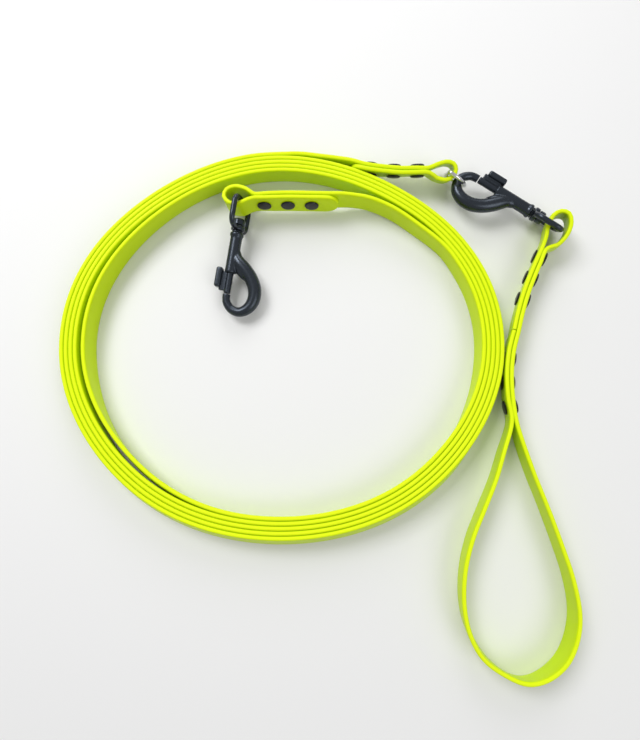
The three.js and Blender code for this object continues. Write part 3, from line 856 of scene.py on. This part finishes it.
def makeSnapBolt():
    boltEnd = -snap["tipDistance"] + snap["endGap"]
    boltBack = -snap["barrelLength"] + snap["boltInside"]
    radius, edge = snap["boltRadius"], snap["boltRound"]
    pinOutline = [(radius - edge, boltEnd), (radius, boltEnd + edge), (radius, boltBack)]
    pin = lathe("pin", pinOutline, sidesRound["pin"])
    leverLow = boltEnd + snap["leverAt"]
    half = snap["leverThickness"] / 2
    lever = roundedBlock(
        "lever",
        (-snap["leverReach"], leverLow, -half),
        (-snap["leverRoot"], leverLow + snap["leverLength"], half),
        snap["leverRound"],
        3,
    )
    knobLow = leverLow + snap["knobOffset"]
    knob = roundedBlock(
        "knob",
        (-snap["knobReach"], knobLow, -snap["knobWidth"] / 2),
        (-snap["leverReach"] + snap["knobRoot"], knobLow + snap["knobLength"], snap["knobWidth"] / 2),
        snap["knobRound"],
        6,
    )
    return castTogether("snapBoltPattern", [pin, lever, knob], snap["boltSkin"], 3)


eye = {
    "wireRadius": 1.7,
    "clearWidth": 19,
    "barDistance": 19.8,
    "bossRadius": 4.2,
    "bossFrom": 1.35,
    "bossThickness": 3,
    "bossRound": 0.4,
    "barCorner": 4,
    "baseCorner": 5,
    "skin": 0.28,
}


def makeSwivelEye():
    half = eye["clearWidth"] / 2 + eye["wireRadius"]
    base = eye["bossFrom"] + eye["bossThickness"] / 2
    bar, corner, foot = eye["barDistance"], eye["barCorner"], eye["baseCorner"]
    outline = (
        arcPoints(bar - corner, half - corner, corner, corner, 0, 90, 10)
        + arcPoints(base + foot, half - foot, foot, foot, 90, 180, 10)
        + arcPoints(base + foot, foot - half, foot, foot, 180, 270, 10)
        + arcPoints(bar - corner, corner - half, corner, corner, 270, 360, 10)
    )
    wireRadii = [eye["wireRadius"]] * len(outline)
    wire = sweepTube("eyeWire", outline, wireRadii, sidesRound["wire"], closed=True)
    # the outline's x runs out along y, and its y becomes height
    wire.data.transform(Matrix(((0, 0, 1, 0), (1, 0, 0, 0), (0, 1, 0, 0), (0, 0, 0, 1))))
    low, high = eye["bossFrom"], eye["bossFrom"] + eye["bossThickness"]
    wide, edge = eye["bossRadius"], eye["bossRound"]
    bossOutline = [(wide - edge, low), (wide, low + edge), (wide, high - edge), (wide - edge, high)]
    boss = lathe("eyeBoss", bossOutline, sidesRound["boss"])
    body = castTogether("eyePattern", [wire, boss], eye["skin"], 4)
    hole = snap["postRadius"] + snap["runGap"]
    cutAway(body, [lathe("eyeCutter", [(hole, low - 2), (hole, high + 2)], sidesRound["bore"])])
    return body


post = {
    "headFrom": 4.65,
    "headOutline": [(3.4, 0), (3.8, 0.4), (3.8, 3), (3.55, 3.6), (2.9, 4.05), (2.1, 4.2)],  # radius, rise
}


def makeSwivelPost():
    foot, head = -snap["postSocket"] + snap["runGap"], post["headFrom"]
    profile = [(snap["postRadius"], foot), (snap["postRadius"], head)]
    profile += [(radius, head + rise) for radius, rise in post["headOutline"]]
    return lathe("postPattern", profile, sidesRound["boss"])


washer = {"outline": [(3.1, 0.25), (3.3, 0.45), (3.3, 0.85), (3.1, 1.05)], "holeRadius": 2.1}


def makeWasher():
    piece = lathe("washerPattern", washer["outline"], sidesRound["bore"])
    hole = washer["holeRadius"]
    cutAway(piece, [lathe("washerCutter", [(hole, -1), (hole, 3)], sidesRound["bore"])])
    return piece


spring = {
    "wireRadius": 0.3,
    "wireSides": 10,
    "radius": 1.75,
    "turns": 6,
    "stepsPerTurn": 24,
    "from": -19.7,
    "to": -4.9,
}


def makeSpring():
    wire, rise = spring["wireRadius"], spring["to"] - spring["from"] - 2 * spring["wireRadius"]
    bpy.ops.object.select_all(action="DESELECT")
    bpy.ops.mesh.primitive_circle_add(
        vertices=spring["wireSides"], radius=wire, location=(spring["radius"], spring["from"] + wire, 0)
    )
    piece = bpy.context.object
    piece.name = "springPattern"
    bpy.ops.object.transform_apply(location=True, rotation=True, scale=True)
    coils = piece.modifiers.new("coils", "SCREW")
    coils.axis = "Y"
    coils.iterations = spring["turns"]
    coils.screw_offset = rise / spring["turns"]
    coils.steps = spring["stepsPerTurn"]
    coils.render_steps = spring["stepsPerTurn"]
    applyAll(piece)
    bpy.ops.object.mode_set(mode="EDIT")
    bpy.ops.mesh.select_all(action="SELECT")
    bpy.ops.mesh.fill_holes(sides=0)
    bpy.ops.mesh.normals_make_consistent(inside=False)
    bpy.ops.object.mode_set(mode="OBJECT")
    return piece


ring = {
    "wireRadius": 1.1,
    "clearWidth": 17.6,
    "depth": 13,
    "cornerShare": 1.4,  # of the wire's radius
    "shoulderDepth": 3,
    "towards": (0.806, -0.592, 0),  # from the strap's fold to the second snap
}


def makeRing():
    half = ring["clearWidth"] / 2 + ring["wireRadius"]
    corner, shoulder = ring["wireRadius"] * ring["cornerShare"], ring["shoulderDepth"]
    outline = (
        arcPoints(corner, half - corner, corner, corner, 180, 90, 6)
        + arcPoints(shoulder, 0, ring["depth"] - shoulder, half, 90, -90, 44)
        + arcPoints(corner, corner - half, corner, corner, 270, 180, 6)
    )
    wireRadii = [ring["wireRadius"]] * len(outline)
    return sweepTube("ringPattern", outline, wireRadii, sidesRound["wire"], closed=True)


rivet = {
    "capRadius": 4.3,
    "domeHeight": 1.3,
    "rim": 0.5,
    "shaftRadius": 1.5,
    "spacing": 14.5,
    "perGroup": 3,
    "seatGap": 0.25,
    "edgeRound": 0.12,
    "domeShares": (0.93, 0.84, 0.72, 0.58, 0.42, 0.24, 0.1),  # of the cap's radius
}


def makeRivet():
    face = strap["thickness"] + (strap["layerPitch"] - strap["thickness"]) / 2 + rivet["seatGap"]
    wide, tall, rim = rivet["capRadius"], rivet["domeHeight"], rivet["rim"]
    shape = [(rivet["shaftRadius"], 0), (wide - 0.2, 0), (wide, 0.15)]
    shape += [(wide, rim - 0.1), (wide - rivet["edgeRound"], rim)]
    for share in rivet["domeShares"]:
        shape.append((wide * share, rim + (tall - rim) * math.sqrt(1 - share**2)))
    far = [(radius, face + out) for radius, out in shape]
    near = [(radius, -face - out) for radius, out in reversed(shape)]
    return lathe("rivetPattern", near + far, sidesRound["cap"])


def rivetPlaces(stations, first, fromEnd):
    # midway between the two layers, with y through them, counted along the strap from one of its ends
    total = stations[-1]["run"]
    places = []
    for i in range(rivet["perGroup"]):
        along = first + i * rivet["spacing"]
        run = total - along if fromEnd else along
        after = next(k for k, station in enumerate(stations) if station["run"] >= run)
        a, b = stations[after - 1], stations[after]
        share = (run - a["run"]) / (b["run"] - a["run"])
        point, side, up = [a[key].lerp(b[key], share) for key in ("point", "side", "up")]
        side.normalize()
        up = (up - side * up.dot(side)).normalized()
        middle = point + side * strap["layerPitch"] / 2
        axes = Matrix((up, side, up.cross(side))).transposed().to_4x4()
        places.append(Matrix.Translation(middle) @ axes)
    return places


def snapPlace(x, y, z, heading, pitch):
    turn = Matrix.Rotation(math.radians(heading), 4, "Z") @ Matrix.Rotation(math.radians(pitch), 4, "X")
    return Matrix.Translation((x, y, z)) @ turn


# each snap's place, and its eye's roll about the shank in degrees
snapPlaces = {
    "snap_a": (snapPlace(-29, 65.6, 11.8, -9.6, 6.5), -11),
    "snap_b": (snapPlace(151.25, 79.15, 12.3, -124.5, 0), 30),
}
bodyPattern = makeSnapBody()
boltPattern = makeSnapBolt()
eyePattern = makeSwivelEye()
postPattern = makeSwivelPost()
springPattern = makeSpring()
washerPattern = makeWasher()
# the bolt's travel presses the spring against the bore's end
for prefix, (place, roll) in snapPlaces.items():
    letter = prefix[-1].upper()
    eyePlace = place @ Matrix.Rotation(math.radians(roll), 4, "Y")
    eyeBody, boltBody = prefix.replace("snap", "eye"), prefix.replace("snap", "bolt")
    for pattern, label, where, body, part in (
        (bodyPattern, "snapBody", place, prefix, "body"),
        (boltPattern, "snapBolt", place, boltBody, "bolt"),
        (eyePattern, "swivelEye", eyePlace, eyeBody, "swivel_eye"),
        (postPattern, "swivelPost", place, prefix, "swivel_post"),
        (washerPattern, "washer", place, prefix, "washer"),
    ):
        placeCopy(pattern, label + letter, where, body, "black_metal", blackCoat, f"{prefix}_{part}")
    snapSpring = placeCopy(
        springPattern,
        "spring" + letter,
        place,
        prefix,
        "spring_steel",
        springSteel,
        prefix + "_spring",
    )
    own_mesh(snapSpring)
print("snaps made")

ringUp = upOf(leanAtRing)
ringTowards = Vector(ring["towards"])
ringTowards = (ringTowards - ringUp * ringTowards.dot(ringUp)).normalized()
ringAxes = Matrix((ringTowards, ringUp, ringTowards.cross(ringUp))).transposed().to_4x4()
ringPattern = makeRing()
placeCopy(
    ringPattern,
    "dRing",
    Matrix.Translation(ringBar) @ ringAxes,
    "ring",
    "nickel",
    brightNickel,
    "d_ring",
)
print("ring made")

rivetPattern = makeRivet()
# each group's strap, its first rivet's run along it, whether that is counted back from the far end, and
# the body it rides
rivetGroups = {
    "snap_end": (lineStations, 16.5, False, "line"),
    "ring_end": (lineStations, 12.5, True, "line"),
    "handle_fold": (handleStations, 21.5, False, "handle"),
    "hand_loop": (handleStations, 16, True, "handle"),
}
for group, (stations, first, fromEnd, body) in rivetGroups.items():
    for i, place in enumerate(rivetPlaces(stations, first, fromEnd)):
        nodeName = f"{group}_rivet_{i + 1}"
        placeCopy(
            rivetPattern,
            f"{group}Rivet{i + 1}",
            place,
            body,
            "black_metal",
            capBlack,
            nodeName + "_post",
            nodeName + "_cap",
        )
print("rivets made")

patterns = [bodyPattern, boltPattern, eyePattern, postPattern]
patterns += [washerPattern, springPattern, ringPattern, rivetPattern]
for pattern in patterns:
    bpy.data.objects.remove(pattern, do_unlink=True)
